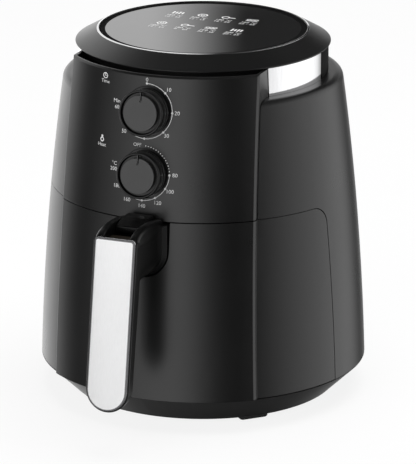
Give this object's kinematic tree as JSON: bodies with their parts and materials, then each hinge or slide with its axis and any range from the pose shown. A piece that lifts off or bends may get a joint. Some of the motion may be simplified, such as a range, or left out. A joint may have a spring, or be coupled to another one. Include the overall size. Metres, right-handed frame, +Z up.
{
  "type": "air fryer",
  "caption": "Round counter-top air fryer with a tapered housing, a pull-out drawer with basket, pan and guarded release handle, dials for time and heat, a heater and a fan.",
  "frame": {"origin": "on the surface it stands on, under the middle of the overall box from handle front to rear outlet", "axes": "+Z up; the drawer, dials and handle face -Y; the rear air outlet faces +Y; the housing's round axis is vertical at X 0, Y 22.9 mm"},
  "size_m": [0.2598, 0.3498, 0.2924],
  "materials": {
    "satin_black": "fine moulded grain with a satin sheen",
    "base_black": "plain moulded black",
    "handle_black": "smooth satin black",
    "cover_black": "half-gloss moulded black",
    "gloss_black": "polished piano black",
    "dark_chrome": "dark mirror plating",
    "knob_black": "satin black",
    "knob_face": "dark spun metal with a pale pointer line",
    "handle_silver": "pale satin silver",
    "button_brown": "dark reddish brown",
    "foot_rubber": "soft black rubber",
    "sheet_steel": "plain rolled sheet",
    "bright_steel": "bright drawn steel",
    "screw_steel": "zinc-plated steel",
    "heater_sheath": "heat-tinted dull steel tube",
    "white_ceramic": "unglazed white ceramic",
    "motor_case": "grey painted case",
    "fan_aluminium": "pressed aluminium",
    "fan_plastic": "dark grey nylon",
    "pan_coating": "dark non-stick coating with fine flecks",
    "rail_nylon": "self-coloured grey nylon",
    "switch_plastic": "moulded electrical plastic",
    "spindle_brass": "turned brass"
  },
  "bodies": {
    "housing": {"rear_housing": "satin_black", "control_panel": "satin_black", "base_tray": "base_black", "rear_outlet": "base_black", "top_cover": "cover_black", "top_plate": "gloss_black", "neck_band": "dark_chrome", "foot_front_left": "foot_rubber", "foot_front_right": "foot_rubber", "foot_rear_left": "foot_rubber", "foot_rear_right": "foot_rubber", "cord_gland": "foot_rubber", "chamber_liner": "sheet_steel", "heat_reflector": "sheet_steel", "floor_plate": "sheet_steel", "motor_bracket": "sheet_steel", "heater_guard": "bright_steel", "base_screws": "screw_steel", "heating_element": "heater_sheath", "heater_bushings": "white_ceramic", "motor": "motor_case", "rail_left": "rail_nylon", "rail_right": "rail_nylon", "drawer_switch": "switch_plastic", "timer_unit": "switch_plastic", "thermostat_unit": "switch_plastic"},
    "fan": {"motor_shaft": "bright_steel", "hot_air_fan": "fan_aluminium", "cooling_fan": "fan_plastic"},
    "timer_dial": {"timer_spindle": "spindle_brass", "timer_knob": "knob_black", "timer_cap": "knob_face"},
    "temperature_dial": {"temperature_spindle": "spindle_brass", "temperature_knob": "knob_black", "temperature_cap": "knob_face"},
    "drawer": {"drawer_front": "satin_black", "drawer_lining": "base_black", "pan_bracket": "sheet_steel", "frying_pan": "pan_coating", "basket": "pan_coating", "basket_strap": "bright_steel", "handle_shell": "handle_black", "handle_plate": "handle_silver", "handle_screws": "screw_steel", "button_spring": "bright_steel"},
    "guard": {"release_guard": "handle_black"},
    "button": {"release_button": "button_brown"},
    "latch": {"basket_latch": "bright_steel"}
  },
  "joints": [
    {"name": "drawer_slide", "type": "slide", "parent": "housing", "child": "drawer", "axis": [0, -1, 0], "range_m": [0, 0.245]},
    {"name": "timer_turn", "type": "hinge", "parent": "housing", "child": "timer_dial", "pos_m": [0, -0.0907, 0.2534], "axis": [0, 0.9907, -0.1361], "range_deg": [0, 270]},
    {"name": "temperature_turn", "type": "hinge", "parent": "housing", "child": "temperature_dial", "pos_m": [0, -0.09672, 0.2058], "axis": [0, 0.9934, -0.1145], "range_deg": [0, 270]},
    {"name": "fan_spin", "type": "hinge", "parent": "housing", "child": "fan", "pos_m": [0, 0.0229, 0.2], "axis": [0, 0, 1], "continuous": true},
    {"name": "guard_slide", "type": "slide", "parent": "drawer", "child": "guard", "axis": [0, -1, 0], "range_m": [0, 0.013]},
    {"name": "button_press", "type": "slide", "parent": "drawer", "child": "button", "axis": [0, 0, -1], "range_m": [0, 0.003], "stiffness_N_per_m": 800, "deforming": ["button_spring"]},
    {"name": "latch_draw", "type": "slide", "parent": "drawer", "child": "latch", "axis": [0, -1, 0], "range_m": [0, 0.003]}
  ],
  "couplings": [
    {"joint": "latch_draw", "follows": "button_press", "ratio": 1}
  ]
}
